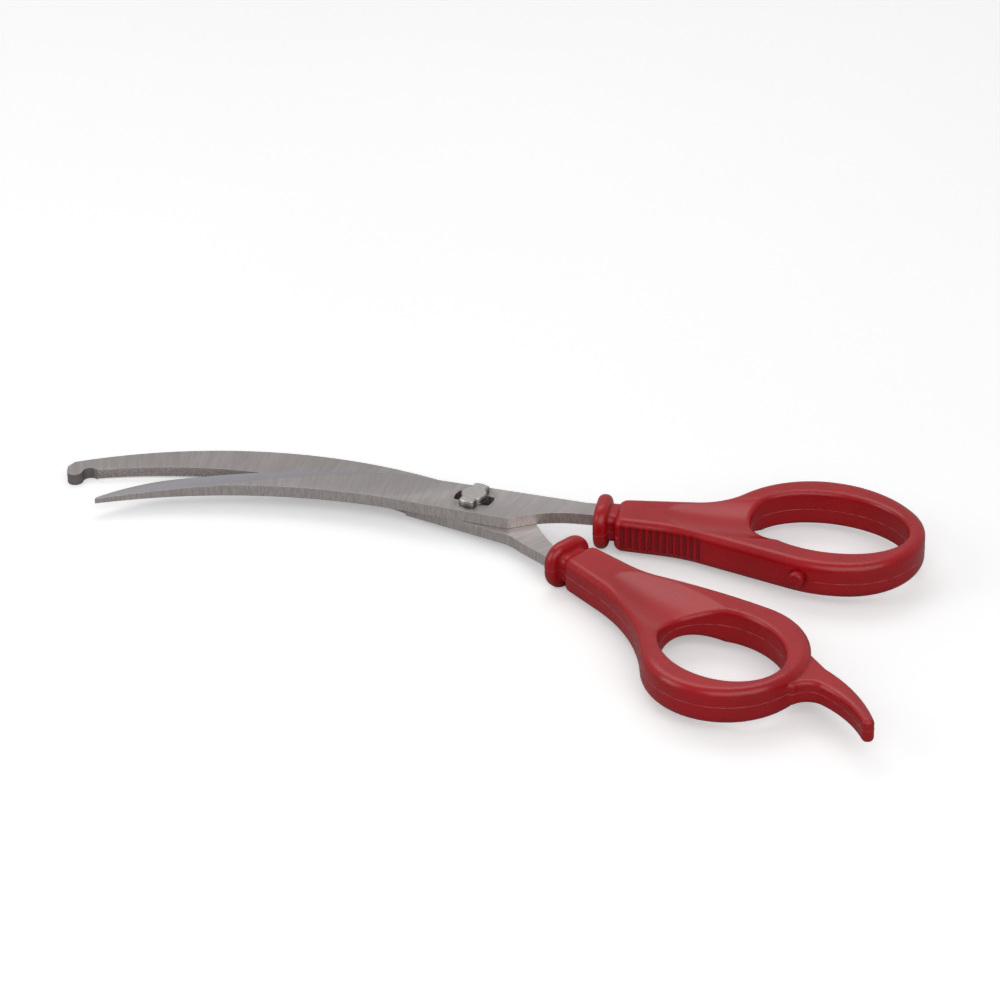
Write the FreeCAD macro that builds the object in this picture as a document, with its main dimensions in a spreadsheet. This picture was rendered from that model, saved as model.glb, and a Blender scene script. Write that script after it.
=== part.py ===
import FreeCAD, Part
import Sketcher
import math
import os

# Take-apart poultry shears: two blade halves that turn about a headed stud.
# Millimetres.  Origin: the pivot axis at the plane where the blades slide on each other.
# +Z runs up the stud towards its head, the blades point to -X, the handles to +X.

Vector = FreeCAD.Vector
Rotation = FreeCAD.Rotation
Placement = FreeCAD.Placement

# How far a cutting profile reaches past the piece it cuts.
PAST = 1.0

doc = FreeCAD.newDocument("poultry_shears")
sheet = doc.addObject("Spreadsheet::Sheet", "dims")

DRIVING_SIZES = {
    # blades
    "blade_thickness": 2.8,
    "blade_running_gap": 0.05,
    "back_arc": 110.4,
    "concave_edge_arc": 105.3,
    "hook_end_arc": 1.85,
    "notch_arc": 1.8,
    "stud_blade_bevel_foot": 0.65,
    "stud_blade_bevel_rise": 2.3,
    "convex_edge_arc": 127.7,
    "convex_tip_arc": 42.4,
    "spine_arc": 130.8,
    "facet_arc": 141.2,
    "facet_centre_x": -74.5,
    "facet_centre_y": -109.5,
    "facet_from": 60.0,
    "facet_sweep": 50.0,
    "facet_reach": 10.5,
    "facet_drop": 2.1,
    "facet_hollow_arc": 46.5,
    # tangs hidden in the handles
    "stud_tang_width": 4.4,
    "stud_tang_middle": -0.3,
    "stud_tang_start": 17.5,
    "keyhole_tang_width": 5.0,
    "keyhole_tang_middle": -0.2,
    "keyhole_tang_start": 24.5,
    "tang_socket_start": 20.0,
    "tang_end": 50.0,
    "tang_peg_place": 43.0,
    "tang_peg_diameter": 3.0,
    # pivot
    "stud_diameter": 6.0,
    "stud_groove_diameter": 5.5,
    "stud_groove_width": 0.4,
    "stud_head_lift": 2.95,
    "stud_head_height": 1.45,
    "stud_head_round": 5.9,
    "stud_bar_length": 8.8,
    "stud_bar_width": 3.7,
    "stud_bar_turn": 62.0,
    "stud_head_edge": 0.25,
    "rivet_diameter": 4.6,
    "rivet_head_diameter": 6.6,
    "rivet_head_height": 0.75,
    "keyhole_diameter": 6.16,
    "keyhole_slot_length": 9.3,
    "keyhole_slot_width": 3.95,
    "keyhole_slot_turn": -46.5,
    # handles
    "handle_thickness": 8.6,
    "handle_edge_round": 1.9,
    "grip_front_round": 2.2,
    "hole_edge_round": 1.0,
    "collar_width": 12.4,
    "collar_height": 11.2,
    "collar_thickness": 3.2,
    "collar_corner_round": 4.7,
    "collar_rim_round": 1.4,
    "neck_width": 7.8,
    "neck_height": 7.0,
    "neck_corner_round": 2.0,
    "neck_overlap": 0.4,
    "thumb_axis_turn": -47.0,
    "thumb_collar_start": 29.6,
    "thumb_collar_middle": -0.6,
    "thumb_grip_start": 34.4,
    "thumb_ring_x": 84.1,
    "thumb_ring_y": -4.2,
    "thumb_ring_arc": 18.4,
    "thumb_hole_x": 83.4,
    "thumb_hole_y": -4.6,
    "thumb_hole_long": 15.2,
    "thumb_hole_short": 12.0,
    "tail_thickness": 5.6,
    "tail_edge_round": 1.1,
    "tail_end_round": 1.2,
    "finger_axis_turn": -34.0,
    "finger_collar_start": 28.5,
    "finger_collar_middle": -0.5,
    "finger_grip_start": 33.3,
    "finger_hole_x": 81.6,
    "finger_hole_y": 1.0,
    "finger_hole_long": 18.2,
    "finger_hole_short": 12.0,
    "finger_hole_turn": -10.0,
    "scoop_depth": 1.9,
    "scoop_long": 24.0,
    "scoop_wide": 8.8,
    "thumb_scoop_x": 71.6,
    "thumb_scoop_y": -2.6,
    "thumb_scoop_turn": -4.0,
    "finger_scoop_x": 68.0,
    "finger_scoop_y": 0.0,
    "finger_scoop_turn": 4.0,
    # ribs on the outside of the finger grip
    "rib_count": 12,
    "rib_pitch": 1.6,
    "rib_first": 35.6,
    "rib_groove_radius": 0.6,
    "rib_groove_stand_off": 0.22,
    "rib_height": 5.6,
    # buffer between the handles
    "bumper_diameter": 3.8,
    "bumper_length": 5.5,
    "bumper_stand_out": 1.35,
    "bumper_edge_round": 0.5,
    "bumper_x": 76.7,
    "bumper_y": -17.15,
    "bumper_turn": -105.5,
    # how the two halves stand to each other
    "closed_turn": 10.5,
    "rest_opening": 12.0,
}


def add_size(alias, value):
    row = add_size.rows + 1
    sheet.set(f"A{row}", alias)
    sheet.set(f"B{row}", str(value))
    sheet.setAlias(f"B{row}", alias)
    add_size.rows = row


add_size.rows = 0
for size_name, size_value in DRIVING_SIZES.items():
    add_size(size_name, size_value)
doc.recompute()


def size(alias):
    """Value of a driving dimension, as it stands in the sheet."""
    return float(getattr(sheet, alias))


def drive(item, prop, formula):
    """Bind a property to an expression of driving sizes."""
    item.setExpression(prop, formula)


def new_body(label):
    body = doc.addObject("PartDesign::Body", label)
    body.Label = label
    return body


def new_sketch(body, name, plane="XY_Plane", offset=None):
    sketch = body.newObject("Sketcher::SketchObject", name)
    base = [item for item in body.Origin.OriginFeatures if item.Role == plane][0]
    sketch.AttachmentSupport = (base, [""])
    sketch.MapMode = "FlatFace"
    if offset is not None:
        sketch.AttachmentOffset = offset
    return sketch


def name_and_drive(sketch, index, word, formula):
    sketch.renameConstraint(index, word)
    drive(sketch, f"Constraints.{word}", formula)


# ---------------------------------------------------------------- outlines

class Corner:
    """One point of an outline and the stretch that leaves it.

    bend is 0 for a straight stretch, a radius for one that turns left and minus a
    radius for one that turns right.  held tells which coordinates are driving sizes,
    smooth makes the outline run through the point without a corner, and a stretch
    with bend_held False takes the radius that keeps its ends smooth.
    """

    def __init__(self, word, x, y, bend=0.0, held="xy", smooth=False, bend_held=True,
                 centre=None, long_way=False):
        self.word = word
        self.x = x
        self.y = y
        self.bend = bend
        self.held = held
        self.smooth = smooth
        self.bend_held = bend_held
        self.centre = centre
        self.long_way = long_way


OUTLINES = {}

# From the tang round the heel, along the back to the hook, and home along the edge.
OUTLINES["stud_blade"] = [
    Corner("tang_far", 17.8, -16.3, bend=-42.6),
    Corner("heel", 12.8, 0.2, bend=-24.7),
    Corner("shoulder", 5.8, 3.5),
    Corner("back_end", -6.7, 12.0, bend=110.4, bend_held="back_arc"),
    Corner("tip_far", -94.0, 24.1),
    Corner("tip_end", -95.5, 22.0),
    Corner("hook", -95.5, 19.8, bend=1.85, bend_held="hook_end_arc"),
    Corner("notch", -91.9, 19.5, bend=-1.8, bend_held="notch_arc"),
    Corner("edge_tip", -88.5, 20.35, bend=-105.3, bend_held="concave_edge_arc"),
    Corner("edge_heel", -15.9, 2.1),
    Corner("bend_start", 7.2, -11.3, bend=-14.0),
    Corner("bend_end", 10.3, -14.7),
]

# From the tang along the bowed edge to the tip, and home along the spine.
OUTLINES["keyhole_blade"] = [
    Corner("tang_far", 22.4, -12.3),
    Corner("edge_heel", -11.3, 16.7, bend=127.7, bend_held="convex_edge_arc"),
    Corner("edge_front", -61.9, 39.9, bend=42.4, bend_held="convex_tip_arc"),
    Corner("tip_far", -78.0, 39.1, bend=1.6),
    Corner("tip_near", -79.0, 38.2, bend=-130.8, bend_held="spine_arc"),
    Corner("spine_end", -19.8, 9.9),
    Corner("near_corner", 3.5, -11.4, bend=-27.6),
    Corner("tang_near", 19.2, -16.2),
]

# Along the grip's near side, round the ring and home along the far side; local X runs down the grip.
OUTLINES["thumb"] = [
    Corner("neck_near", 34.4, -5.3),
    Corner("grip_near", 46.2, -6.4, bend=-41.0, smooth=True, bend_held=False),
    Corner("ring_near", 71.3, -17.0, bend=18.4, held="", smooth=True, bend_held="thumb_ring_arc",
           centre=("thumb_ring_x", "thumb_ring_y"), long_way=True),
    Corner("ring_far", 79.8, 13.7, bend=176.0, held="", smooth=True, bend_held=False),
    Corner("waist", 54.5, 6.25, bend=-25.0, held="x", smooth=True),
    Corner("grip_far", 46.5, 4.65, smooth=True),
    Corner("neck_far", 34.4, 4.2),
]

# The horn behind the ring.
OUTLINES["tail"] = [
    Corner("root_near", 100.6, -6.0),
    Corner("armpit", 103.6, -3.6, bend=-4.5),
    Corner("near", 107.5, 0.6, bend=-27.9),
    Corner("end_near", 123.1, -3.2),
    Corner("end_far", 125.1, -1.4, bend=39.6),
    Corner("far", 104.0, 6.3),
    Corner("root_far", 97.4, 8.2),
]

# Along the grip's near side, round the loop and home along the far side.
OUTLINES["finger"] = [
    Corner("neck_near", 33.3, -6.8),
    Corner("grip_near", 44.5, -7.5, bend=-36.0, smooth=True),
    Corner("side_start", 53.5, -9.6, held="x", smooth=True),
    Corner("side_end", 74.5, -16.4, bend=30.0, held="x", smooth=True),
    Corner("loop_low", 88.0, -18.0, bend=17.7, held="x", smooth=True),
    Corner("loop_end", 103.2, -0.5, bend=14.5, held="y", smooth=True),
    Corner("loop_turn", 99.8, 8.8, bend=27.0, held="y", smooth=True),
    Corner("loop_top", 79.0, 18.4, bend=24.0, held="x", smooth=True),
    Corner("web_far", 63.6, 12.8, bend=-28.9, held="", smooth=True, bend_held=False),
    Corner("grip_far", 50.5, 5.6, smooth=True),
    Corner("neck_far", 33.3, 3.8),
]

for outline_name, outline in OUTLINES.items():
    for point in outline:
        if "x" in point.held:
            add_size(f"{outline_name}_{point.word}_x", point.x)
        if "y" in point.held:
            add_size(f"{outline_name}_{point.word}_y", point.y)
        if point.bend and point.bend_held is True:
            add_size(f"{outline_name}_{point.word}_arc", abs(point.bend))
doc.recompute()


def arc_between(start, end, bend, long_way):
    middle = (start + end) * 0.5
    chord = end - start
    left = Vector(-chord.y, chord.x, 0).normalize()
    radius = abs(bend)
    rise = math.sqrt(max(radius ** 2 - (chord.Length / 2) ** 2, 0.0))
    side = 1 if bend > 0 else -1
    if long_way:
        side = -side
    centre = middle + left * rise * side
    circle = Part.Circle(centre, Vector(0, 0, 1), radius)
    first, last = (start, end) if bend > 0 else (end, start)
    from_angle = math.atan2(first.y - centre.y, first.x - centre.x)
    to_angle = math.atan2(last.y - centre.y, last.x - centre.x)
    if to_angle < from_angle:
        to_angle += 2 * math.pi
    return Part.ArcOfCircle(circle, from_angle, to_angle)


def draw_outline(sketch, piece, corners, derived=False):
    """Closed chain of lines and arcs; held coordinates and radii are driven by the sheet.

    A derived outline is worked out from driving sizes, so its own numbers aren't in the sheet.
    """
    count = len(corners)
    ends = []
    for number, corner in enumerate(corners):
        following = corners[(number + 1) % count]
        start = Vector(corner.x, corner.y, 0)
        end = Vector(following.x, following.y, 0)
        if corner.bend == 0:
            geo = sketch.addGeometry(Part.LineSegment(start, end))
            ends.append((geo, 1, 2))
        else:
            geo = sketch.addGeometry(arc_between(start, end, corner.bend, corner.long_way))
            ends.append((geo, 1, 2) if corner.bend > 0 else (geo, 2, 1))
    for number, corner in enumerate(corners):
        before = ends[number - 1]
        after = ends[number]
        kind = "Tangent" if corner.smooth else "Coincident"
        sketch.addConstraint(Sketcher.Constraint(kind, before[0], before[2], after[0], after[1]))
    for number, corner in enumerate(corners):
        geo, start_point, end_point = ends[number]
        label = f"{piece}_{corner.word}"
        for axis, kind, value in (("x", "DistanceX", corner.x), ("y", "DistanceY", corner.y)):
            if axis in corner.held:
                index = sketch.addConstraint(Sketcher.Constraint(kind, geo, start_point, value))
                if not derived:
                    name_and_drive(sketch, index, f"{corner.word}_{axis}", f"dims.{label}_{axis}")
        if isinstance(corner.bend_held, str):
            radius = size(corner.bend_held)
            index = sketch.addConstraint(Sketcher.Constraint("Radius", geo, radius))
            name_and_drive(sketch, index, f"{corner.word}_arc", f"dims.{corner.bend_held}")
        elif corner.bend and corner.bend_held:
            index = sketch.addConstraint(Sketcher.Constraint("Radius", geo, abs(corner.bend)))
            if not derived:
                name_and_drive(sketch, index, f"{corner.word}_arc", f"dims.{label}_arc")
        if corner.centre:
            for axis, kind, alias in zip("xy", ("DistanceX", "DistanceY"), corner.centre):
                index = sketch.addConstraint(Sketcher.Constraint(kind, geo, 3, size(alias)))
                name_and_drive(sketch, index, f"{corner.word}_centre_{axis}", f"dims.{alias}")
    doc.recompute()


def draw_rectangle(sketch, left, right, low, high, formulas):
    """Rectangle whose four sides sit at driven places: left, right, low, high."""
    corners = [Vector(left, low, 0), Vector(right, low, 0), Vector(right, high, 0), Vector(left, high, 0)]
    sides = []
    for number in range(4):
        sides.append(sketch.addGeometry(Part.LineSegment(corners[number], corners[(number + 1) % 4])))
    for number in range(4):
        after = sides[(number + 1) % 4]
        sketch.addConstraint(Sketcher.Constraint("Coincident", sides[number], 2, after, 1))
    for number, kind in enumerate(("Horizontal", "Vertical", "Horizontal", "Vertical")):
        sketch.addConstraint(Sketcher.Constraint(kind, sides[number]))
    places = (("left", "DistanceX", 0, left), ("low", "DistanceY", 0, low),
              ("right", "DistanceX", 2, right), ("high", "DistanceY", 2, high))
    for word, kind, side, value in places:
        index = sketch.addConstraint(Sketcher.Constraint(kind, sides[side], 1, value))
        name_and_drive(sketch, index, word, formulas[word])


def draw_circle(sketch, x, y, diameter_formula, diameter, x_formula="0 mm", y_formula="0 mm"):
    geo = sketch.addGeometry(Part.Circle(Vector(x, y, 0), Vector(0, 0, 1), diameter / 2))
    words = (("DistanceX", "place_x", x_formula, x), ("DistanceY", "place_y", y_formula, y))
    for kind, word, formula, value in words:
        index = sketch.addConstraint(Sketcher.Constraint(kind, geo, 3, value))
        name_and_drive(sketch, index, f"{word}_{geo}", formula)
    index = sketch.addConstraint(Sketcher.Constraint("Diameter", geo, diameter))
    name_and_drive(sketch, index, f"across_{geo}", diameter_formula)
    return geo


def draw_bar(sketch, length_alias, width_alias):
    """Bar along X whose ends are arcs about the middle."""
    reach = size(length_alias) / 2
    half = size(width_alias) / 2
    side = math.sqrt(reach ** 2 - half ** 2)
    swing = math.asin(half / reach)
    circle = Part.Circle(Vector(0, 0, 0), Vector(0, 0, 1), reach)
    low = sketch.addGeometry(Part.LineSegment(Vector(-side, -half, 0), Vector(side, -half, 0)))
    right = sketch.addGeometry(Part.ArcOfCircle(circle, -swing, swing))
    high = sketch.addGeometry(Part.LineSegment(Vector(side, half, 0), Vector(-side, half, 0)))
    left = sketch.addGeometry(Part.ArcOfCircle(circle, math.pi - swing, math.pi + swing))
    chain = (low, right, high, left)
    for number in range(4):
        sketch.addConstraint(Sketcher.Constraint("Coincident", chain[number], 2, chain[(number + 1) % 4], 1))
    for arc in (right, left):
        sketch.addConstraint(Sketcher.Constraint("Coincident", arc, 3, -1, 1))
        index = sketch.addConstraint(Sketcher.Constraint("Radius", arc, reach))
        name_and_drive(sketch, index, f"reach_{arc}", f"dims.{length_alias} / 2")
    for line, sign in ((low, -1), (high, 1)):
        sketch.addConstraint(Sketcher.Constraint("Horizontal", line))
        index = sketch.addConstraint(Sketcher.Constraint("DistanceY", line, 1, sign * half))
        name_and_drive(sketch, index, f"half_{line}", f"{sign} * dims.{width_alias} / 2")


# ---------------------------------------------------------------- features

def pad(body, name, sketch, length_formula, side="One side", reverse=False):
    feature = body.newObject("PartDesign::Pad", name)
    feature.Profile = sketch
    feature.SideType = side
    feature.Reversed = reverse
    drive(feature, "Length", length_formula)
    doc.recompute()
    return feature


def check_smaller(before, feature):
    after = feature.Shape.Volume
    if not after < before - 1e-6:
        raise RuntimeError(f"{feature.Label} removes nothing")


def pocket(body, name, sketch, length_formula=None, side="One side", reverse=False):
    before = body.Tip.Shape.Volume
    feature = body.newObject("PartDesign::Pocket", name)
    feature.Profile = sketch
    if length_formula is None:
        feature.Type = 1
        feature.SideType = "Symmetric"
    else:
        feature.SideType = side
        drive(feature, "Length", length_formula)
    feature.Reversed = reverse
    doc.recompute()
    check_smaller(before, feature)
    return feature


def pick_edges(shape, wanted):
    return [f"Edge{number}" for number, edge in enumerate(shape.Edges, 1) if wanted(edge)]


def round_edges(body, name, wanted, radius_formula):
    base = body.Tip
    feature = body.newObject("PartDesign::Fillet", name)
    feature.Base = (base, pick_edges(base.Shape, wanted))
    drive(feature, "Radius", radius_formula)
    doc.recompute()
    return feature


def edge_height(edge):
    """Height of a level edge, None for any other."""
    box = edge.BoundBox
    return box.ZMin if box.ZLength < 1e-4 else None


def at_height(edge, height):
    level = edge_height(edge)
    return level is not None and abs(level - height) < 1e-4


def turned_cut(body, name, centre, start_angle, sweep, profile):
    """Cut turned about an upright axis at centre; profile holds (radius, height) points."""
    before = body.Tip.Shape.Volume
    offset = Placement(Vector(centre[0], 0, -centre[1]), Rotation(Vector(0, 1, 0), start_angle))
    sketch = new_sketch(body, name + "_profile", "XZ_Plane", offset)
    draw_outline(sketch, name, profile, derived=True)
    feature = body.newObject("PartDesign::Groove", name)
    feature.Profile = sketch
    feature.ReferenceAxis = (sketch, ["V_Axis"])
    feature.Angle = sweep
    doc.recompute()
    check_smaller(before, feature)
    return feature


# ---------------------------------------------------------------- blades

def tang_bar(body, kind, handle, downward):
    """Straight bar that runs from the blade into the handle, with its locking hole."""
    offset = Placement(Vector(0, 0, 0), Rotation(Vector(0, 0, 1), size(f"{handle}_axis_turn")))
    sketch = new_sketch(body, f"{kind}_tang_outline", "XY_Plane", offset)
    draw_tang(sketch, kind, f"dims.{kind}_tang_start", size(f"{kind}_tang_start"))
    return pad(body, f"{kind}_tang", sketch, "dims.blade_thickness", reverse=downward)


def draw_tang(sketch, kind, start_formula, start):
    middle = size(f"{kind}_tang_middle")
    half = size(f"{kind}_tang_width") / 2
    formulas = {
        "left": start_formula,
        "right": "dims.tang_end",
        "low": f"dims.{kind}_tang_middle - dims.{kind}_tang_width / 2",
        "high": f"dims.{kind}_tang_middle + dims.{kind}_tang_width / 2",
    }
    draw_rectangle(sketch, start, size("tang_end"), middle - half, middle + half, formulas)
    draw_circle(sketch, size("tang_peg_place"), middle, "dims.tang_peg_diameter", size("tang_peg_diameter"),
                "dims.tang_peg_place", f"dims.{kind}_tang_middle")


def stud_blade():
    """Lower blade: arched edge with a bone notch and a hook at the tip."""
    body = new_body("stud_blade")
    sketch = new_sketch(body, "stud_blade_outline")
    draw_outline(sketch, "stud_blade", OUTLINES["stud_blade"])
    pad(body, "stud_blade_plate", sketch, "dims.blade_thickness", reverse=True)
    tang_bar(body, "stud", "thumb", True)
    cutting_bevel(body)
    hole = new_sketch(body, "rivet_hole_outline")
    draw_circle(hole, 0, 0, "dims.rivet_diameter", size("rivet_diameter"))
    pocket(body, "rivet_hole", hole)
    return body


def cutting_bevel(body):
    """Ground relief of the arched edge: the wall leans back towards the underside."""
    arc = size("concave_edge_arc")
    start = Vector(size("stud_blade_edge_tip_x"), size("stud_blade_edge_tip_y"), 0)
    end = Vector(size("stud_blade_edge_heel_x"), size("stud_blade_edge_heel_y"), 0)
    centre = arc_between(start, end, -arc, False).Center
    thick = size("blade_thickness")
    rise = size("stud_blade_bevel_rise")
    foot = size("stud_blade_bevel_foot")
    from_angle = math.degrees(math.atan2(end.y - centre.y, end.x - centre.x))
    to_angle = math.degrees(math.atan2(start.y - centre.y, start.x - centre.x))
    turned_cut(body, "edge_relief", (centre.x, centre.y), from_angle, to_angle - from_angle, [
        Corner("inside_low", arc - 2 * PAST, -thick - PAST),
        Corner("foot", arc + foot * (1.0 + PAST / rise), -thick - PAST),
        Corner("rise", arc, rise - thick),
        Corner("inside_high", arc - 2 * PAST, rise - thick),
    ])


def keyhole_blade():
    """Upper blade: bowed edge ground down from the outer face, with the keyhole."""
    body = new_body("keyhole_blade")
    sketch = new_sketch(body, "keyhole_blade_outline")
    draw_outline(sketch, "keyhole_blade", OUTLINES["keyhole_blade"])
    pad(body, "keyhole_blade_plate", sketch, "dims.blade_thickness")
    tang_bar(body, "keyhole", "finger", False)
    outer_facet(body)
    turn = Placement(Vector(0, 0, 0), Rotation(Vector(0, 0, 1), size("keyhole_slot_turn")))
    slot = new_sketch(body, "keyhole_slot_outline", "XY_Plane", turn)
    draw_bar(slot, "keyhole_slot_length", "keyhole_slot_width")
    pocket(body, "keyhole_slot", slot)
    hole = new_sketch(body, "keyhole_round_outline")
    draw_circle(hole, 0, 0, "dims.keyhole_diameter", size("keyhole_diameter"))
    pocket(body, "keyhole_round", hole)
    return body


def outer_facet(body):
    """Hollow-ground facet: falls from the outer face towards the bowed edge and the tip."""
    arc = size("facet_arc")
    thick = size("blade_thickness")
    reach = size("facet_reach")
    drop = size("facet_drop")
    hollow = size("facet_hollow_arc")
    centre = (size("facet_centre_x"), size("facet_centre_y"))
    turned_cut(body, "edge_facet", centre, size("facet_from"), size("facet_sweep"), [
        Corner("crest", arc, thick, bend=hollow, bend_held="facet_hollow_arc"),
        Corner("edge_low", arc + reach, thick - drop),
        Corner("edge_clear", arc + reach, thick + PAST),
        Corner("crest_clear", arc, thick + PAST),
    ])


# ---------------------------------------------------------------- pivot

def pivot_stud():
    """Headed stud, riveted into the stud blade; the bar on its head locks the halves."""
    body = new_body("pivot_stud")
    lift = size("stud_head_lift")
    shank = new_sketch(body, "shank_outline")
    draw_circle(shank, 0, 0, "dims.stud_diameter", size("stud_diameter"))
    pad(body, "shank", shank, "dims.stud_head_lift")
    up = Placement(Vector(0, 0, lift), Rotation(Vector(0, 0, 1), size("stud_bar_turn")))
    round_head = new_sketch(body, "head_round_outline", "XY_Plane", up)
    draw_circle(round_head, 0, 0, "dims.stud_head_round", size("stud_head_round"))
    pad(body, "head_round", round_head, "dims.stud_head_height")
    bar = new_sketch(body, "head_bar_outline", "XY_Plane", up)
    draw_bar(bar, "stud_bar_length", "stud_bar_width")
    pad(body, "head_bar", bar, "dims.stud_head_height")
    top = lift + size("stud_head_height")
    chamfer = body.newObject("PartDesign::Chamfer", "head_edges")
    base = doc.getObject("head_bar")
    chamfer.Base = (base, pick_edges(base.Shape, lambda edge: at_height(edge, top)))
    drive(chamfer, "Size", "dims.stud_head_edge")
    doc.recompute()
    rivet = new_sketch(body, "rivet_outline")
    draw_circle(rivet, 0, 0, "dims.rivet_diameter", size("rivet_diameter"))
    pad(body, "rivet", rivet, "dims.blade_thickness", reverse=True)
    rivet_dome(body)
    shank_groove(body)
    return body


def rivet_dome(body):
    """Domed tail that clenches the stud under the blade."""
    half = size("rivet_head_diameter") / 2
    height = size("rivet_head_height")
    thick = size("blade_thickness")
    ball = (half ** 2 + height ** 2) / (2 * height)
    sketch = new_sketch(body, "rivet_dome_outline", "XZ_Plane")
    draw_outline(sketch, "rivet_dome", [
        Corner("middle", 0.0, -thick - height, bend=ball),
        Corner("rim", half, -thick),
        Corner("top", 0.0, -thick),
    ], derived=True)
    feature = body.newObject("PartDesign::Revolution", "rivet_dome")
    feature.Profile = sketch
    feature.ReferenceAxis = (sketch, ["V_Axis"])
    feature.Angle = 360
    doc.recompute()


def shank_groove(body):
    """Turned relief where the shank meets the blade."""
    outer = size("stud_diameter") / 2 + PAST
    inner = size("stud_groove_diameter") / 2
    turned_cut(body, "shank_relief", (0.0, 0.0), 0.0, 360.0, [
        Corner("inner_low", inner, 0.0),
        Corner("outer_low", outer, 0.0),
        Corner("outer_high", outer, size("stud_groove_width")),
        Corner("inner_high", inner, size("stud_groove_width")),
    ])


# ---------------------------------------------------------------- handles

def rounded_block(body, name, kind, start, thickness_formula, word):
    """Rounded rectangle across the grip, from start towards the ring."""
    middle = size(f"{kind}_collar_middle")
    half = size(f"{word}_width") / 2
    tall = size(f"{word}_height") / 2
    bend = size(f"{word}_corner_round")
    radius = f"{word}_corner_round"
    left = middle - half
    right = middle + half
    sketch = new_sketch(body, name + "_outline", "YZ_Plane", Placement(Vector(0, 0, start), Rotation()))
    draw_outline(sketch, name, [
        Corner("low_left", left + bend, -tall),
        Corner("low_right", right - bend, -tall, bend=bend, bend_held=radius),
        Corner("right_low", right, bend - tall),
        Corner("right_high", right, tall - bend, bend=bend, bend_held=radius),
        Corner("high_right", right - bend, tall),
        Corner("high_left", left + bend, tall, bend=bend, bend_held=radius),
        Corner("left_high", left, tall - bend),
        Corner("left_low", left, bend - tall, bend=bend, bend_held=radius),
    ], derived=True)
    return pad(body, name, sketch, thickness_formula)


def collar_and_neck(body, kind):
    """Finger guard in front of the grip and the groove behind it."""
    start = size(f"{kind}_collar_start")
    thick = size("collar_thickness")
    middle = size(f"{kind}_collar_middle")
    overlap = size("neck_overlap")
    length = f"dims.{kind}_grip_start - dims.{kind}_collar_start - dims.collar_thickness + 2 * dims.neck_overlap"
    rounded_block(body, f"{kind}_neck", kind, start + thick - overlap, length, "neck")
    rounded_block(body, f"{kind}_collar", kind, start, "dims.collar_thickness", "collar")

    def rim(edge):
        box = edge.BoundBox
        wide = max(abs(box.YMin - middle), abs(box.YMax - middle))
        tall = max(abs(box.ZMin), abs(box.ZMax))
        outer = abs(wide - size("collar_width") / 2) < 1e-3 or abs(tall - size("collar_height") / 2) < 1e-3
        return box.XLength < 1e-3 and outer

    round_edges(body, f"{kind}_collar_rims", rim, "dims.collar_rim_round")


def ellipse_hole(body, kind, turn):
    """Opening through the ring, with rounded rims."""
    place = Placement(Vector(size(f"{kind}_hole_x"), size(f"{kind}_hole_y"), 0), Rotation(Vector(0, 0, 1), turn))
    sketch = new_sketch(body, f"{kind}_hole_outline", "XY_Plane", place)
    long_half = size(f"{kind}_hole_long")
    short_half = size(f"{kind}_hole_short")
    ellipse = Part.Ellipse(Vector(long_half, 0, 0), Vector(0, short_half, 0), Vector(0, 0, 0))
    geo = sketch.addGeometry(ellipse)
    sketch.exposeInternalGeometry(geo)
    sketch.addConstraint(Sketcher.Constraint("Coincident", geo, 3, -1, 1))
    index = sketch.addConstraint(Sketcher.Constraint("Distance", geo + 1, 2 * long_half))
    name_and_drive(sketch, index, "long_across", f"2 * dims.{kind}_hole_long")
    index = sketch.addConstraint(Sketcher.Constraint("Distance", geo + 2, 2 * short_half))
    name_and_drive(sketch, index, "short_across", f"2 * dims.{kind}_hole_short")
    sketch.addConstraint(Sketcher.Constraint("Horizontal", geo + 1))
    pocket(body, f"{kind}_hole", sketch)

    def rim(edge):
        """An edge that runs round the wall of the opening."""
        for step in (0.0, 0.3, 0.7, 1.0):
            first, last = edge.ParameterRange
            local = place.inverse().multVec(edge.valueAt(first + step * (last - first)))
            wall = (local.x / long_half) ** 2 + (local.y / short_half) ** 2
            if abs(wall - 1.0) > 1e-3:
                return False
        return edge.BoundBox.XLength + edge.BoundBox.YLength > 0.5

    round_edges(body, f"{kind}_hole_rims", rim, "dims.hole_edge_round")


def web_scoops(body, kind):
    """Shallow dishes in both faces that lead from the grip into the ring."""
    depth = size("scoop_depth")
    wide = size("scoop_wide")
    long = size("scoop_long")
    waist = (wide ** 2 + depth ** 2) / (2 * depth)
    lift = waist - depth
    bow = (long ** 2 + depth ** 2) / (2 * depth)
    end = long + 2 * PAST
    end_radius = waist - bow + math.sqrt(bow ** 2 - end ** 2)
    turn = size(f"{kind}_scoop_turn")
    for word, side in (("top", 1), ("bottom", -1)):
        before = body.Tip.Shape.Volume
        height = side * (size("handle_thickness") / 2 + lift)
        spot = Vector(size(f"{kind}_scoop_x"), height, -size(f"{kind}_scoop_y"))
        name = f"{kind}_scoop_{word}"
        sketch = new_sketch(body, name + "_outline", "XZ_Plane", Placement(spot, Rotation(Vector(0, 1, 0), turn)))
        draw_outline(sketch, name, [
            Corner("low_left", -end, -side * end_radius, bend=side * bow),
            Corner("low_right", end, -side * end_radius),
            Corner("axis_right", end, 0.0),
            Corner("axis_left", -end, 0.0),
        ], derived=True)
        dish = body.newObject("PartDesign::Groove", name)
        dish.Profile = sketch
        dish.ReferenceAxis = (sketch, ["H_Axis"])
        dish.Angle = 360
        doc.recompute()
        check_smaller(before, dish)


def tang_socket(body, kind, lift):
    """Slot moulded round the tang, with the peg that fills the tang's hole."""
    upward = kind == "keyhole"
    sketch = new_sketch(body, f"{kind}_socket_outline", "XY_Plane", Placement(Vector(0, 0, lift), Rotation()))
    draw_tang(sketch, kind, "dims.tang_socket_start", size("tang_socket_start"))
    pocket(body, f"{kind}_socket", sketch, "dims.blade_thickness", reverse=upward)


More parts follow.
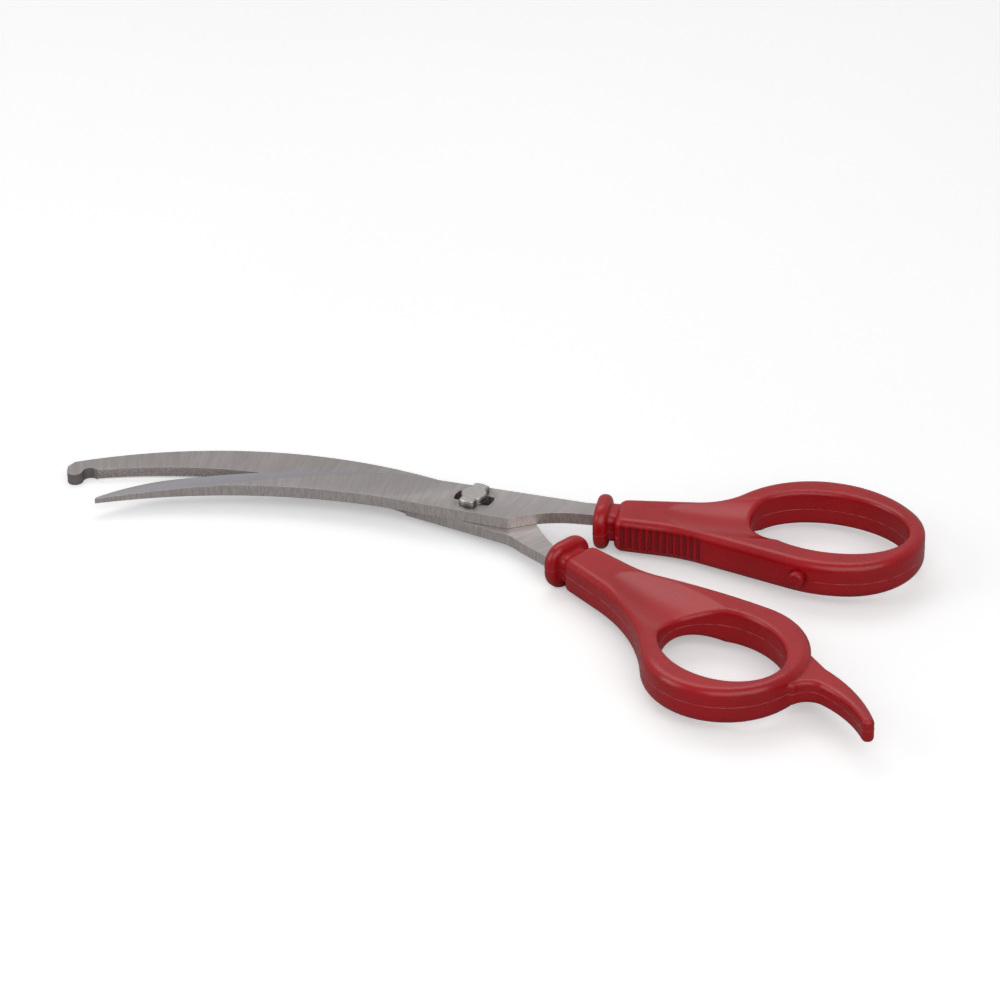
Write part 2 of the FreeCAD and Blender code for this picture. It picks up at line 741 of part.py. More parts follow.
def outline_edges(kind):
    """Edges of both broad faces of the grip and the ring."""
    height = size("handle_thickness") / 2
    start = size(f"{kind}_grip_start")

    def wanted(edge):
        level = at_height(edge, height) or at_height(edge, -height)
        return level and edge.BoundBox.XMin > start - 1e-3

    return wanted


def front_corners(kind):
    """Upright corners of the grip beside the neck."""
    start = size(f"{kind}_grip_start")
    return lambda edge: edge.BoundBox.ZLength > 1.0 and edge.BoundBox.XMax < start + 1e-3


def thumb_handle():
    """Handle with the small ring and the curved tail, moulded on the stud blade's tang."""
    body = new_body("thumb_handle")
    tail(body)
    sketch = new_sketch(body, "thumb_outline")
    draw_outline(sketch, "thumb", OUTLINES["thumb"])
    pad(body, "thumb_plate", sketch, "dims.handle_thickness", side="Symmetric")
    round_edges(body, "thumb_front", front_corners("thumb"), "dims.grip_front_round")
    round_edges(body, "thumb_edges", outline_edges("thumb"), "dims.handle_edge_round")
    web_scoops(body, "thumb")
    ellipse_hole(body, "thumb", 0.0)
    collar_and_neck(body, "thumb")
    tang_socket(body, "stud", 0.0)
    return body


def tail(body):
    """Curved horn behind the ring."""
    sketch = new_sketch(body, "tail_outline")
    draw_outline(sketch, "tail", OUTLINES["tail"])
    pad(body, "tail_plate", sketch, "dims.tail_thickness", side="Symmetric")
    height = size("tail_thickness") / 2
    end = size("tail_end_near_x")

    def upright_end(edge):
        return edge.BoundBox.ZLength > 1.0 and edge.BoundBox.XMin > end - 1e-3

    def wanted(edge):
        level = at_height(edge, height) or at_height(edge, -height)
        return level and edge.BoundBox.XMin > size("thumb_ring_x")

    round_edges(body, "tail_end", upright_end, "dims.tail_end_round")

    round_edges(body, "tail_edges", wanted, "dims.tail_edge_round")


def finger_handle():
    """Handle with the long loop, moulded on the keyhole blade's tang."""
    body = new_body("finger_handle")
    sketch = new_sketch(body, "finger_outline")
    draw_outline(sketch, "finger", OUTLINES["finger"])
    pad(body, "finger_plate", sketch, "dims.handle_thickness", side="Symmetric")
    round_edges(body, "finger_front", front_corners("finger"), "dims.grip_front_round")
    round_edges(body, "finger_edges", outline_edges("finger"), "dims.handle_edge_round")
    web_scoops(body, "finger")
    ellipse_hole(body, "finger", size("finger_hole_turn"))
    collar_and_neck(body, "finger")
    tang_socket(body, "keyhole", size("blade_running_gap"))
    rib_grooves(body)
    bumper_socket(body)
    return body


def rib_grooves(body):
    """Upright grip grooves along the outer wall, on its straight and then on its bend."""
    radius = size("finger_grip_near_arc")
    bend = Vector(size("finger_grip_near_x"), size("finger_grip_near_y"), 0)
    front = Vector(size("finger_neck_near_x"), size("finger_neck_near_y"), 0)
    along = (bend - front).normalize()
    centre = bend + Vector(along.y, -along.x, 0) * radius
    sketch = new_sketch(body, "rib_outline")
    for number in range(int(size("rib_count"))):
        x = size("rib_first") + number * size("rib_pitch")
        y = front.y + (x - front.x) * along.y / along.x
        if x > bend.x:
            y = centre.y + math.sqrt(radius ** 2 - (x - centre.x) ** 2)
        draw_circle(sketch, x, y - size("rib_groove_stand_off"),
                    "2 * dims.rib_groove_radius", 2 * size("rib_groove_radius"),
                    f"dims.rib_first + {number} * dims.rib_pitch", f"{y} - dims.rib_groove_stand_off")
    pocket(body, "rib_grooves", sketch, "dims.rib_height", side="Symmetric")


def bumper_place():
    """Frame on the bumper's axis: local Z points out of the handle."""
    outward = Vector(math.cos(math.radians(size("bumper_turn"))), math.sin(math.radians(size("bumper_turn"))), 0)
    spot = Vector(size("bumper_x"), size("bumper_y"), 0)
    return spot, outward


def bumper_socket(body):
    """Blind hole for the buffer."""
    spot, outward = bumper_place()
    depth = size("bumper_length") - size("bumper_stand_out")
    before = body.Tip.Shape.Volume
    plug = body.newObject("PartDesign::SubtractiveCylinder", "bumper_socket")
    base = [item for item in body.Origin.OriginFeatures if item.Role == "XY_Plane"][0]
    plug.AttachmentSupport = (base, [""])
    plug.MapMode = "FlatFace"
    start = spot - outward * depth
    plug.AttachmentOffset = Placement(start, Rotation(Vector(0, 0, 1), outward))
    drive(plug, "Radius", "dims.bumper_diameter / 2")
    drive(plug, "Height", "dims.bumper_length + 2")
    doc.recompute()
    check_smaller(before, plug)


def closing_bumper():
    """Small plug that lands on the other handle when the shears close."""
    body = new_body("closing_bumper")
    sketch = new_sketch(body, "bumper_outline")
    draw_circle(sketch, 0, 0, "dims.bumper_diameter", size("bumper_diameter"))
    pad(body, "bumper_plug", sketch, "dims.bumper_length")
    length = size("bumper_length")
    round_edges(body, "bumper_end", lambda edge: at_height(edge, length), "dims.bumper_edge_round")
    return body


# ---------------------------------------------------------------- assembly and export

def stand(body, turn, lift=0.0):
    body.Placement = Placement(Vector(0, 0, lift), Rotation(Vector(0, 0, 1), turn))


def assemble():
    half_turn = size("closed_turn") + size("rest_opening")
    blade = stud_blade()
    stand(blade, 0.0)
    stud = pivot_stud()
    stand(stud, 0.0)
    thumb = thumb_handle()
    stand(thumb, size("thumb_axis_turn"))
    upper = keyhole_blade()
    stand(upper, half_turn, size("blade_running_gap"))
    finger = finger_handle()
    stand(finger, size("finger_axis_turn") + half_turn)
    bumper = closing_bumper()
    spot, outward = bumper_place()
    inner_end = spot - outward * (size("bumper_length") - size("bumper_stand_out"))
    local = Placement(inner_end, Rotation(Vector(0, 0, 1), outward))
    bumper.Placement = finger.Placement.multiply(local)
    pieces = [blade, stud, thumb, upper, finger, bumper]
    doc.recompute()
    return pieces


def check_and_export(pieces):
    for item in doc.Objects:
        if "Invalid" in item.State or "Error" in item.State:
            raise RuntimeError(f"{item.Label} is {item.State}")
        if item.TypeId == "Sketcher::SketchObject" and not item.FullyConstrained:
            print("free sketch:", item.Label)
    os.makedirs("parts", exist_ok=True)
    for body in pieces:
        shape = body.Shape
        if shape.isNull() or not shape.isValid():
            raise RuntimeError(f"{body.Label} has no valid shape")
        if len(shape.Solids) != 1:
            raise RuntimeError(f"{body.Label} has {len(shape.Solids)} solids")
        shape.exportStep(f"parts/{body.Label}.step")
        box = shape.BoundBox
        print(body.Label, round(shape.Volume, 1), [round(v, 1) for v in (box.XMin, box.XMax, box.YMin, box.YMax,
                                                                    box.ZMin, box.ZMax)])


check_and_export(assemble())
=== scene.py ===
"""Looks of the poultry shears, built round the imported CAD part."""
import math

import bmesh
import bpy
from mathutils import Matrix, Vector


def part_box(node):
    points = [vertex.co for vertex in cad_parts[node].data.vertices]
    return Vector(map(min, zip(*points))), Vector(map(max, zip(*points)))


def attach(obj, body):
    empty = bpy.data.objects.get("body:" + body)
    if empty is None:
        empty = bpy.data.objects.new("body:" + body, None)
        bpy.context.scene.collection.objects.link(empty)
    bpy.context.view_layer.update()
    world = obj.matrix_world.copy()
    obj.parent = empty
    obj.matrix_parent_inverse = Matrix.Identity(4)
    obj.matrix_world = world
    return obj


MM = 0.001
REST_TURN = math.radians(22.5)      # how far the keyhole half is turned at rest
FINGER_TURN = math.radians(-11.5)   # the finger grip's own direction at rest
RIBS_MIDDLE = (44.4, -7.4)          # middle of the grooved field, along and across the finger grip, mm
RIBS_REACH = 9.9                    # how far from that middle the mould seam is left out, mm
RIB_FIRST = 35.6                    # middle of the first groove, along the finger grip, mm
RIB_PITCH = 1.6                     # from one groove to the next, mm
STUD_EDGE_CENTRE = (-75.9, -84.2)   # middle of the arched edge, mm
KEYHOLE_EDGE_CENTRE = (-88.5, -85.0)    # middle of the bowed edge before the rest turn, mm
FACET_SLOPE = 0.985                 # upright part of the normal where the ground facet starts
HOOK_FROM = -88.9                   # where the walls start to darken towards the hook, mm
HOOK_FULL = -89.8                   # where they are fully dark, mm
FLOOR_NORMAL = Vector((0.0202, -0.0104, 0.9997)).normalized()   # both collars and the tip touch the table
FLOOR_POINT = Vector((20.8, -23.2, -5.62)) * MM                 # just under the thumb handle's collar

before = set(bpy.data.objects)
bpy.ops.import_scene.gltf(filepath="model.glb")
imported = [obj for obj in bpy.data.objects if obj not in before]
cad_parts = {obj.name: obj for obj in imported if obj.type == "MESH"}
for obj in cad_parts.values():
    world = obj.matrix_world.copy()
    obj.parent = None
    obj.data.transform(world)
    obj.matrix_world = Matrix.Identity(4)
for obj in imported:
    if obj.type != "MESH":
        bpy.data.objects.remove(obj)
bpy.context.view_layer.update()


def turned(point, angle):
    """Level point turned about the pivot."""
    c, s = math.cos(angle), math.sin(angle)
    return (point[0] * c - point[1] * s, point[0] * s + point[1] * c)


# ------------------------------------------------------------ node helper

class Graph:
    """A material's node tree, with short calls for the steps used here."""

    def __init__(self, name):
        self.material = bpy.data.materials.new(name)
        self.material.use_nodes = True
        self.tree = self.material.node_tree
        self.tree.nodes.clear()
        self.output = self.add("ShaderNodeOutputMaterial")
        self.shader = self.add("ShaderNodeBsdfPrincipled")
        self.join(self.shader.outputs["BSDF"], self.output.inputs["Surface"])
        coords = self.add("ShaderNodeTexCoord").outputs["Object"]
        scaled = self.add("ShaderNodeVectorMath", operation="SCALE")
        self.join(coords, scaled.inputs[0])
        scaled.inputs["Scale"].default_value = 1.0 / MM
        self.place = scaled.outputs[0]
        parts = self.add("ShaderNodeSeparateXYZ")
        self.join(self.place, parts.inputs[0])
        self.x, self.y, self.z = parts.outputs
        normal = self.add("ShaderNodeSeparateXYZ")
        self.join(self.add("ShaderNodeNewGeometry").outputs["Normal"], normal.inputs[0])
        self.upright = normal.outputs["Z"]

    def add(self, kind, **settings):
        node = self.tree.nodes.new(kind)
        for key, value in settings.items():
            setattr(node, key, value)
        return node

    def join(self, source, target):
        self.tree.links.new(source, target)

    def feed(self, target, value):
        """Joins a socket, or sets a plain value."""
        if isinstance(value, bpy.types.NodeSocket):
            self.join(value, target)
        else:
            target.default_value = value

    def math(self, operation, *values):
        node = self.add("ShaderNodeMath", operation=operation)
        for number, value in enumerate(values):
            self.feed(node.inputs[number], value)
        return node.outputs[0]

    def times(self, first, second):
        return self.math("MULTIPLY", first, second)

    def plus(self, first, second):
        return self.math("ADD", first, second)

    def minus(self, first, second):
        return self.math("SUBTRACT", first, second)

    def vector(self, x, y, z):
        node = self.add("ShaderNodeCombineXYZ")
        for number, value in enumerate((x, y, z)):
            self.feed(node.inputs[number], value)
        return node.outputs[0]

    def noise(self, vector, scale, detail, roughness):
        node = self.add("ShaderNodeTexNoise")
        self.feed(node.inputs["Vector"], vector)
        node.inputs["Scale"].default_value = scale
        node.inputs["Detail"].default_value = detail
        node.inputs["Roughness"].default_value = roughness
        return node.outputs[0]

    def span(self, value, low, high, to_low=0.0, to_high=1.0):
        """Value mapped from low..high to to_low..to_high, held at both ends."""
        node = self.add("ShaderNodeMapRange", interpolation_type="SMOOTHSTEP")
        self.feed(node.inputs["Value"], value)
        for key, number in (("From Min", low), ("From Max", high), ("To Min", to_low), ("To Max", to_high)):
            node.inputs[key].default_value = number
        return node.outputs[0]

    def blend(self, share, first, second):
        node = self.add("ShaderNodeMix", data_type="RGBA")
        self.feed(node.inputs[0], share)
        for number, colour in ((6, first), (7, second)):
            if isinstance(colour, tuple):
                colour = (*colour, 1.0)
            self.feed(node.inputs[number], colour)
        return node.outputs[2]

    def bump(self, height, distance, strength, normal):
        node = self.add("ShaderNodeBump")
        node.inputs["Strength"].default_value = strength
        node.inputs["Distance"].default_value = distance
        self.feed(node.inputs["Height"], height)
        self.join(normal, node.inputs["Normal"])
        return node.outputs[0]

    def rounded(self, radius):
        """Normal with sharp edges rounded by radius, and how far it leans from the true one."""
        bevel = self.add("ShaderNodeBevel", samples=6)
        self.feed(bevel.inputs["Radius"], radius)
        dot = self.add("ShaderNodeVectorMath", operation="DOT_PRODUCT")
        self.join(bevel.outputs[0], dot.inputs[0])
        self.join(self.add("ShaderNodeNewGeometry").outputs["Normal"], dot.inputs[1])
        lean = self.minus(1.0, dot.outputs["Value"])
        return bevel.outputs[0], self.span(lean, 0.01, 0.2)

    def polar(self, centre):
        """Angle about centre, as a length on a circle of 100 mm, and distance from centre, both in mm."""
        across = self.minus(self.x, centre[0])
        up = self.minus(self.y, centre[1])
        angle = self.math("ARCTAN2", up, across)
        squares = self.plus(self.times(across, across), self.times(up, up))
        return self.times(angle, 100.0), self.math("SQRT", squares)

    def finish(self, **inputs):
        """Sets the shader's inputs, named with _ for a space, and gives the material."""
        for key, value in inputs.items():
            name = key.replace("_", " ")
            if isinstance(value, tuple):
                value = (*value, 1.0)
            self.feed(self.shader.inputs[name], value)
        return self.material


# ------------------------------------------------------------ materials

def ground_steel(name, edge_centre, warm, facet, undercut):
    """Surface-ground blade steel: lines across the blade, sheared walls with painted light that lifts them
    above the top faces, a rubbed ring at the pivot.

    facet is 1 on the blade with the ground facet, undercut is 1 on the one with the relieved walls and hook;
    those relieved walls lean downwards and are painted lighter still, as painted light standing in for what
    they miss.
    """
    dark = (0.450, 0.416, 0.406)
    light = (0.580, 0.542, 0.532)
    facet_tone = (0.620, 0.605, 0.645)
    # Wall tones are painted light: sheared and relieved walls are painted much lighter than the top faces to
    # make up for the dim reflection they get.
    sheared_tones_painted_lighter = ((0.68, 0.630, 0.612), (0.84, 0.790, 0.770))
    relieved_tones_painted_lighter = ((0.66, 0.605, 0.585), (0.98, 0.910, 0.880))
    hook_shade = (0.26, 0.240, 0.230)
    rubbed_shade = (0.16, 0.145, 0.135)
    nick_shade = (0.22, 0.2, 0.19)
    bright_edge = (0.80, 0.78, 0.77)

    g = Graph(name)
    along, out = g.polar(edge_centre)
    fine = g.noise(g.vector(g.times(along, 5.0), g.times(out, 0.12), g.z), 1.0, 3.0, 0.6)
    broad = g.noise(g.vector(g.times(along, 0.9), g.times(out, 0.05), 0.0), 1.0, 4.0, 0.65)
    cloud = g.noise(g.place, 0.07, 3.0, 0.5)
    speck = g.noise(g.place, 2.2, 4.0, 0.7)
    lines = g.plus(g.times(fine, 0.55), g.times(broad, 0.45))
    flat = g.blend(g.span(lines, 0.36, 0.64), dark, light)
    flat = g.blend(g.times(g.span(cloud, 0.4, 0.62), 0.35), flat, warm)

    level = g.math("ABSOLUTE", g.upright)
    on_facet = g.times(g.span(level, FACET_SLOPE + 0.012, FACET_SLOPE), g.span(level, 0.7, 0.8))
    colour = g.blend(g.times(on_facet, facet), flat, facet_tone)

    wall = g.span(level, 0.75, 0.6)
    shear = g.noise(g.vector(g.times(along, 2.5), out, g.times(g.z, 0.5)), 1.0, 3.0, 0.7)
    # Sheared grain on the walls, lifted by painted light; relieved walls that lean downwards are painted
    # lighter still.
    sheared_painted_lighter = g.blend(g.span(shear, 0.35, 0.65), *sheared_tones_painted_lighter)
    relieved_painted_lighter = g.blend(g.span(speck, 0.4, 0.6), *relieved_tones_painted_lighter)
    leaning = g.times(g.span(g.upright, -0.04, -0.12), undercut)
    colour = g.blend(wall, colour, g.blend(leaning, sheared_painted_lighter, relieved_painted_lighter))
    at_hook = g.times(g.span(g.x, HOOK_FROM, HOOK_FULL), g.times(wall, undercut))
    colour = g.blend(g.times(at_hook, 0.75), colour, hook_shade)

    around, rho = g.polar((0.0, 0.0))
    scratch = g.noise(g.vector(g.times(rho, 5.0), g.times(around, 0.02), 0.0), 1.0, 2.0, 0.6)
    ring = g.times(g.span(rho, 2.8, 3.6), g.span(rho, 6.4, 4.4))
    rubbed = g.times(ring, g.span(scratch, 0.42, 0.62, 0.25, 1.0))
    colour = g.blend(g.times(rubbed, 0.5), colour, rubbed_shade)

    hairline = g.noise(g.vector(g.times(g.x, 0.25), g.times(g.y, 6.0), 0.0), 1.0, 2.0, 0.5)
    nick = g.times(g.span(hairline, 0.67, 0.72), g.span(cloud, 0.5, 0.6))
    colour = g.blend(g.times(nick, 0.5), colour, nick_shade)

    edge_normal, edge_lean = g.rounded(0.12 * MM)
    colour = g.blend(g.times(edge_lean, 0.45), colour, bright_edge)
    rough = g.plus(g.span(lines, 0.3, 0.7, 0.36, 0.46), g.times(wall, 0.08))
    height = g.plus(lines, g.times(g.times(wall, speck), 0.6))
    bumped = g.bump(height, 0.015 * MM, 0.45, edge_normal)
    return g.finish(Base_Color=colour, Metallic=1.0, Roughness=rough, Normal=bumped,
                    Anisotropic=g.times(g.span(level, 0.7, 0.9), 0.35))


def turned_steel(name):
    """Stud: turned shank, milled head with bright chamfers, and a speckled band of painted shade low on the
    stud at its base.
    """
    side_tones = ((0.36, 0.34, 0.33), (0.70, 0.68, 0.67))
    top_tones = ((0.50, 0.465, 0.455), (0.66, 0.630, 0.615))
    # Dark tone for the painted shade at the stud's base.
    foot_painted_shade = (0.10, 0.09, 0.085)
    bright_edge = (0.86, 0.85, 0.84)

    g = Graph(name)
    rho = g.polar((0.0, 0.0))[1]
    turning = g.noise(g.vector(g.times(rho, 4.0), 0.0, g.times(g.z, 9.0)), 1.0, 3.0, 0.6)
    milled = g.noise(g.vector(g.times(g.x, 1.2), g.times(g.y, 7.0), 0.0), 1.0, 3.0, 0.6)
    level = g.math("ABSOLUTE", g.upright)
    top = g.span(level, 0.9, 0.98)
    side_tone = g.blend(g.span(turning, 0.38, 0.62), *side_tones)
    top_tone = g.blend(g.span(milled, 0.36, 0.64), *top_tones)
    colour = g.blend(top, side_tone, top_tone)
    speck = g.noise(g.place, 1.6, 4.0, 0.7)
    # Painted shade: a dark band at the stud's base, broken up by speckle.
    foot = g.times(g.span(g.z, 4.0, 2.9), g.span(g.z, 2.6, 2.9))
    foot_painted_shade_share = g.times(foot, g.span(speck, 0.4, 0.6, 0.3, 0.8))
    colour = g.blend(foot_painted_shade_share, colour, foot_painted_shade)
    edge_normal, edge_lean = g.rounded(0.10 * MM)
    colour = g.blend(g.times(edge_lean, 0.5), colour, bright_edge)
    rough = g.plus(g.span(turning, 0.3, 0.7, 0.20, 0.34), g.times(top, 0.14))
    height = g.plus(g.times(turning, g.minus(1.0, top)), g.times(milled, top))
    bumped = g.bump(height, 0.03 * MM, 0.6, edge_normal)
    return g.finish(Base_Color=colour, Metallic=1.0, Roughness=rough, Normal=bumped)


def rib_marks(g):
    """Where the grip grooves are on the finger handle, and how deep inside a groove a point lies."""
    field_start = 34.2
    field_end = 54.6
    end_fade = 0.6
    wall_from = -4.6
    wall_full = -5.4
    half_height = 3.3
    height_fade = 0.6
    groove_half = 0.36
    groove_floor = 0.20

    c, s = math.cos(FINGER_TURN), math.sin(FINGER_TURN)
    along = g.plus(g.times(g.x, c), g.times(g.y, s))
    across = g.minus(g.times(g.y, c), g.times(g.x, s))
    first_end = g.span(along, field_start, field_start + end_fade)
    last_end = g.span(along, field_end, field_end - end_fade)
    outside = g.span(across, wall_from, wall_full)
    mid_height = g.span(g.math("ABSOLUTE", g.z), half_height, half_height - height_fade)
    field = g.times(g.times(g.times(first_end, last_end), outside), mid_height)
    steps = g.math("DIVIDE", g.minus(along, RIB_FIRST), RIB_PITCH)
    off_middle = g.math("ABSOLUTE", g.minus(g.math("FRACT", g.plus(steps, 0.5)), 0.5))
    return field, g.times(field, g.span(off_middle, groove_half, groove_floor))


def moulded_red(name, tint=1.0, gloss=0.24, ribbed=False):
    """Injection-moulded red plastic: faint flow marks, scuffs on the rims, a soft orange peel."""
    softness = 1.3 * MM
    softness_lost_at_ribs = 1.1 * MM
    deep = (0.400 * tint, 0.0025, 0.0075)
    fresh = (0.460 * tint, 0.0035, 0.0100)
    dust_tone = (0.55, 0.16, 0.16)
    groove_shade = (0.10, 0.004, 0.006)
    rubbed_tone = (0.62, 0.10, 0.11)

    g = Graph(name)
    flow = g.noise(g.place, 0.05, 4.0, 0.55)
    peel = g.noise(g.place, 0.9, 2.0, 0.5)
    grain = g.noise(g.place, 5.0, 3.0, 0.6)
    colour = g.blend(g.span(flow, 0.35, 0.65), deep, fresh)
    dust = g.times(g.span(grain, 0.66, 0.76), 0.10)
    colour = g.blend(dust, colour, dust_tone)
    if ribbed:
        field, groove = rib_marks(g)
        softness = g.plus(g.times(field, -softness_lost_at_ribs), softness)
        colour = g.blend(g.times(groove, 0.50), colour, groove_shade)
    edge_normal, edge_lean = g.rounded(softness)
    rub = g.times(edge_lean, g.span(g.noise(g.place, 0.6, 3.0, 0.6), 0.50, 0.66))
    colour = g.blend(g.times(rub, 0.22), colour, rubbed_tone)
    scuff = g.noise(g.vector(g.times(g.x, 0.3), g.times(g.y, 2.5), g.z), 1.0, 3.0, 0.6)
    rough = g.plus(g.span(flow, 0.3, 0.7, gloss, gloss + 0.06), g.span(scuff, 0.6, 0.75, 0.0, 0.04))
    height = g.plus(g.times(peel, 0.6), g.times(grain, 0.12))
    bumped = g.bump(height, 0.03 * MM, 0.25, edge_normal)
    return g.finish(Base_Color=colour, Roughness=rough, Normal=bumped, IOR=1.50, Specular_IOR_Level=0.5,
                    Coat_Weight=0.15, Coat_Roughness=0.12)


def seam_red(name):
    """Fine flash left where the mould halves meet: paler and duller than the wall."""
    tones = ((0.40, 0.030, 0.035), (0.66, 0.20, 0.20))
    g = Graph(name)
    broken = g.noise(g.place, 0.5, 3.0, 0.6)
    colour = g.blend(g.span(broken, 0.35, 0.62), *tones)
    return g.finish(Base_Color=colour, Roughness=0.5)


def floor_white(name):
    """White paper to the camera, and a mid grey to all other light, so that little bounces up."""
    paper_tones = ((0.87, 0.87, 0.875), (0.90, 0.90, 0.90))
    grey = (0.36, 0.35, 0.35)
    glow = 0.34
    g = Graph(name)
    mottle = g.noise(g.place, 0.004, 2.0, 0.5)
    paper = g.blend(g.span(mottle, 0.3, 0.7), *paper_tones)
    seen = g.add("ShaderNodeLightPath").outputs["Is Camera Ray"]
    colour = g.blend(seen, grey, paper)
    return g.finish(Base_Color=colour, Roughness=0.75, Specular_IOR_Level=0.15,
                    Emission_Color=(1.0, 1.0, 1.0), Emission_Strength=g.times(seen, glow))


# ------------------------------------------------------------ pieces

def dress(node, material):
    """Gives a CAD node its material."""
    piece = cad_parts[node]
    piece.data.materials.clear()
    piece.data.materials.append(material)


def section_loops(node, height):
    """Closed outlines, as point lists, where a level plane cuts a CAD node."""
    cut = bmesh.new()
    cut.from_mesh(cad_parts[node].data)
    geometry = cut.verts[:] + cut.edges[:] + cut.faces[:]
    bmesh.ops.bisect_plane(cut, geom=geometry, dist=1e-7, plane_co=(0, 0, height), plane_no=(0, 0, 1),
                           clear_inner=True, clear_outer=True)
    bmesh.ops.remove_doubles(cut, verts=cut.verts[:], dist=2e-6)
    loops = []
    waiting = set(cut.verts)
    while waiting:
        start = min(waiting, key=lambda vert: (round(vert.co.x, 6), round(vert.co.y, 6)))
        loop = [start]
        waiting.discard(start)
        following = True
        while following:
            following = False
            for edge in loop[-1].link_edges:
                other = edge.other_vert(loop[-1])
                if other in waiting:
                    loop.append(other)
                    waiting.discard(other)
                    following = True
                    break
        loops.append([vert.co.copy() for vert in loop])
    cut.free()
    return loops


def loop_length(points):
    return sum((points[number] - points[number - 1]).length for number in range(len(points)))


def open_runs(points, gaps):
    """Stretches of a closed outline that stay clear of the round gaps; whole when none is met."""
    clear = [all((point.xy - centre).length > reach for centre, reach in gaps) for point in points]
    if all(clear):
        return [points], True
    first = clear.index(False)
    runs = [[]]
    for step in range(1, len(points) + 1):
        number = (first + step) % len(points)
        if clear[number]:
            runs[-1].append(points[number])
        elif runs[-1]:
            runs.append([])
    return [run for run in runs if len(run) > 1], False


def mould_seam(name, node, body, height, material, gaps=()):
    """Thin raised line of flash round a handle and inside its ring, left out inside the round gaps."""
    flash_radius = 0.05 * MM
    shortest_loop = 60 * MM
    curve = bpy.data.curves.new(name, "CURVE")
    curve.dimensions = "3D"
    curve.bevel_depth = flash_radius
    curve.bevel_resolution = 1
    for points in section_loops(node, height):
        if loop_length(points) < shortest_loop:
            continue
        runs, closed = open_runs(points, gaps)
        for run in runs:
            spline = curve.splines.new("POLY")
            spline.points.add(len(run) - 1)
            for number, point in enumerate(run):
                spline.points[number].co = (*point, 1.0)
            spline.use_cyclic_u = closed
    curve.use_fill_caps = True
    seam = bpy.data.objects.new(name, curve)
    bpy.context.scene.collection.objects.link(seam)
    curve.materials.append(material)
    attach(seam, body)


def dress_all():
    """Materials on all the CAD nodes, and the seams on the two handles."""
    warm_lower = (0.47, 0.43, 0.415)
    warm_upper = (0.45, 0.425, 0.42)
    seam_height = 0.3 * MM
    bumper_gap = 3.4 * MM
    keyhole_centre = turned(KEYHOLE_EDGE_CENTRE, REST_TURN)
    dress("stud_blade", ground_steel("ground_steel_lower", STUD_EDGE_CENTRE, warm_lower, 0.0, 1.0))
    dress("keyhole_blade", ground_steel("ground_steel_upper", keyhole_centre, warm_upper, 1.0, 0.0))
    dress("pivot_stud", turned_steel("turned_steel"))
    dress("thumb_handle", moulded_red("moulded_red"))
    dress("finger_handle", moulded_red("moulded_red_ribbed", ribbed=True))
    dress("closing_bumper", moulded_red("bumper_red", 0.92, 0.32))
    seam = seam_red("seam_red")
    low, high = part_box("closing_bumper")
    bumper = (Vector(low).xy + Vector(high).xy) / 2
    ribs = Vector(turned(RIBS_MIDDLE, FINGER_TURN)) * MM
    mould_seam("thumb_mould_seam", "thumb_handle", "stud_half", seam_height, seam)
    mould_seam("finger_mould_seam", "finger_handle", "keyhole_half", -seam_height, seam,
               ((bumper, bumper_gap), (ribs, RIBS_REACH * MM)))


# ------------------------------------------------------------ floor, lights and camera

def table_axes():
    """Axes of the table the shears lie on: they rest on both collars and on the tip."""
    up = FLOOR_NORMAL
    right = (Vector((1, 0, 0)) - up * up.x).normalized()
    away = up.cross(right)
    return right, away, up


def on_table(right_mm, away_mm, up_mm):
    """Place given from the pivot along the table's axes."""
    right, away, up = table_axes()
    foot = -up * (up.dot(-FLOOR_POINT))
    return foot + (right * right_mm + away * away_mm + up * up_mm) * MM


def table_matrix(place):
    """Position and turn of something that lies flat on the table at place."""
    right, away, up = table_axes()
    turn = Matrix((right, away, up)).transposed().to_4x4()
    return Matrix.Translation(place) @ turn


def lay_floor():
    """Square of white paper, 6 m wide, under the shears."""
    half = 3.0
    mesh = bpy.data.meshes.new("floor")
    corners = [(-half, -half, 0), (half, -half, 0), (half, half, 0), (-half, half, 0)]
    mesh.from_pydata(corners, [], [(0, 1, 2, 3)])
    mesh.materials.append(floor_white("floor_white"))
    floor = bpy.data.objects.new("floor", mesh)
    floor.matrix_world = table_matrix(on_table(0, 0, 0))
    bpy.context.scene.collection.objects.link(floor)


def hang_light(name, place_mm, aim_mm, width, depth, power):
    """Soft box aimed at a place on the table: places in mm, size in m, power in W."""
    light = bpy.data.lights.new(name, "AREA")
    light.shape = "RECTANGLE"
    light.size = width
    light.size_y = depth
    light.energy = power
    lamp = bpy.data.objects.new(name, light)
    place = on_table(*place_mm)
    aim = on_table(*aim_mm)
    turn = (aim - place).to_track_quat("-Z", "Y").to_matrix().to_4x4()
    lamp.matrix_world = Matrix.Translation(place) @ turn
    bpy.context.scene.collection.objects.link(lamp)


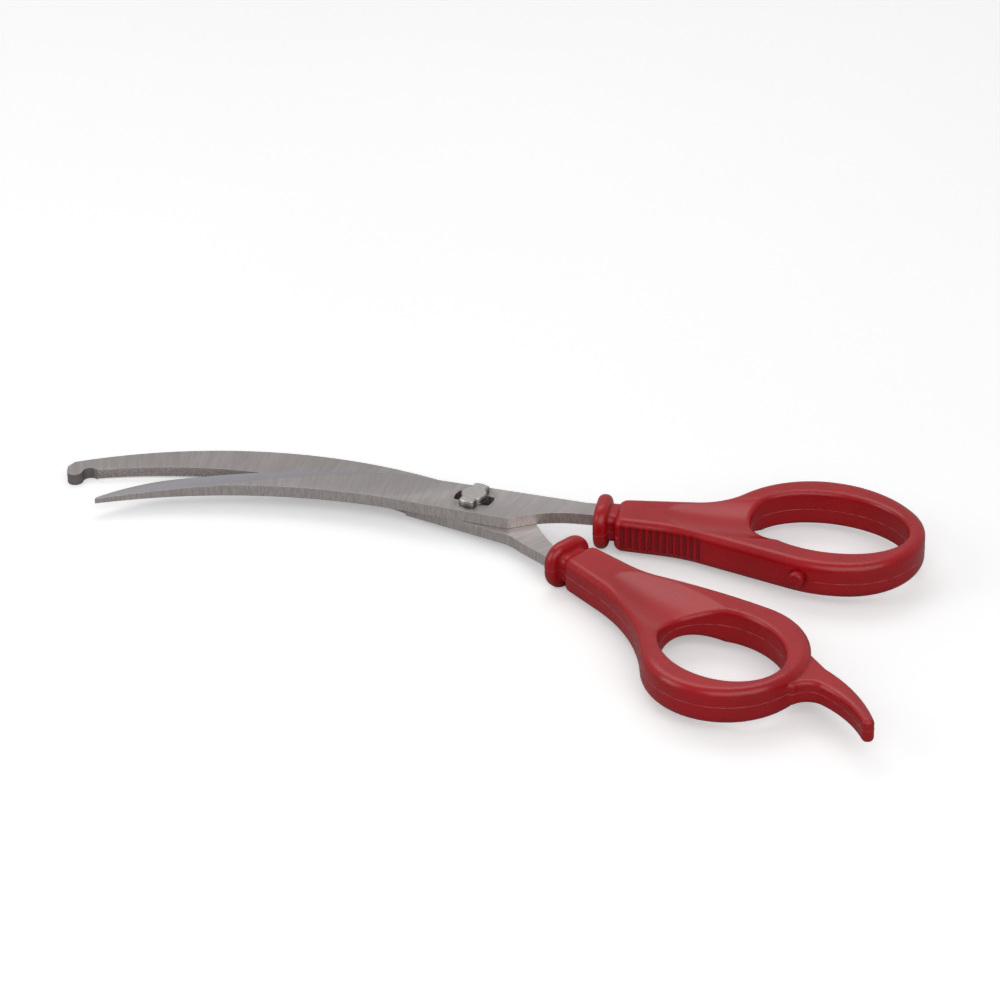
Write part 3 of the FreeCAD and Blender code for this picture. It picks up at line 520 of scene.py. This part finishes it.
def light_room():
    """White background to the camera, light that grows towards the far side, and three soft boxes."""
    world = bpy.data.worlds.new("studio")
    bpy.context.scene.world = world
    world.use_nodes = True
    tree = world.node_tree
    tree.nodes.clear()
    output = tree.nodes.new("ShaderNodeOutputWorld")
    mix = tree.nodes.new("ShaderNodeMixShader")
    seen = tree.nodes.new("ShaderNodeBackground")
    seen.inputs["Color"].default_value = (1, 1, 1, 1)
    lit = tree.nodes.new("ShaderNodeBackground")
    path = tree.nodes.new("ShaderNodeLightPath")
    coords = tree.nodes.new("ShaderNodeTexCoord")
    parts = tree.nodes.new("ShaderNodeSeparateXYZ")
    ramp = tree.nodes.new("ShaderNodeMapRange")
    ramp.interpolation_type = "SMOOTHSTEP"
    for key, value in (("From Min", -0.9), ("From Max", 0.8), ("To Min", 0.18), ("To Max", 0.56)):
        ramp.inputs[key].default_value = value
    links = tree.links
    links.new(coords.outputs["Generated"], parts.inputs[0])
    links.new(parts.outputs["Y"], ramp.inputs["Value"])
    links.new(ramp.outputs[0], lit.inputs["Strength"])
    links.new(path.outputs["Is Camera Ray"], mix.inputs[0])
    links.new(lit.outputs[0], mix.inputs[1])
    links.new(seen.outputs[0], mix.inputs[2])
    links.new(mix.outputs[0], output.inputs["Surface"])
    hang_light("back_box", (-80, 300, 560), (0, -10, 0), 0.60, 0.30, 0.85)
    hang_light("front_box", (160, -620, 560), (0, 0, 0), 1.10, 0.60, 3.5)
    hang_light("left_box", (-620, -160, 330), (0, 0, 0), 0.30, 0.45, 0.9)


def set_camera():
    """Main view: from the near side, 32 degrees down, with a long lens."""
    elevation = math.radians(32.0)
    distance = 0.9
    aim = on_table(5.85, 11.67, 0.0)
    _, away, up = table_axes()
    place = aim + (up * math.sin(elevation) - away * math.cos(elevation)) * distance
    camera = bpy.data.cameras.new("camera")
    camera.lens = 139.3
    camera.sensor_width = 36.0
    camera.clip_start = 0.01
    body = bpy.data.objects.new("camera", camera)
    forward = (aim - place).normalized()
    side = forward.cross(up).normalized()
    top = side.cross(forward)
    turn = Matrix((side, top, -forward)).transposed().to_4x4()
    body.matrix_world = Matrix.Translation(place) @ turn
    bpy.context.scene.collection.objects.link(body)
    bpy.context.scene.camera = body


dress_all()
lay_floor()
light_room()
set_camera()
bpy.context.scene.view_settings.view_transform = "Standard"
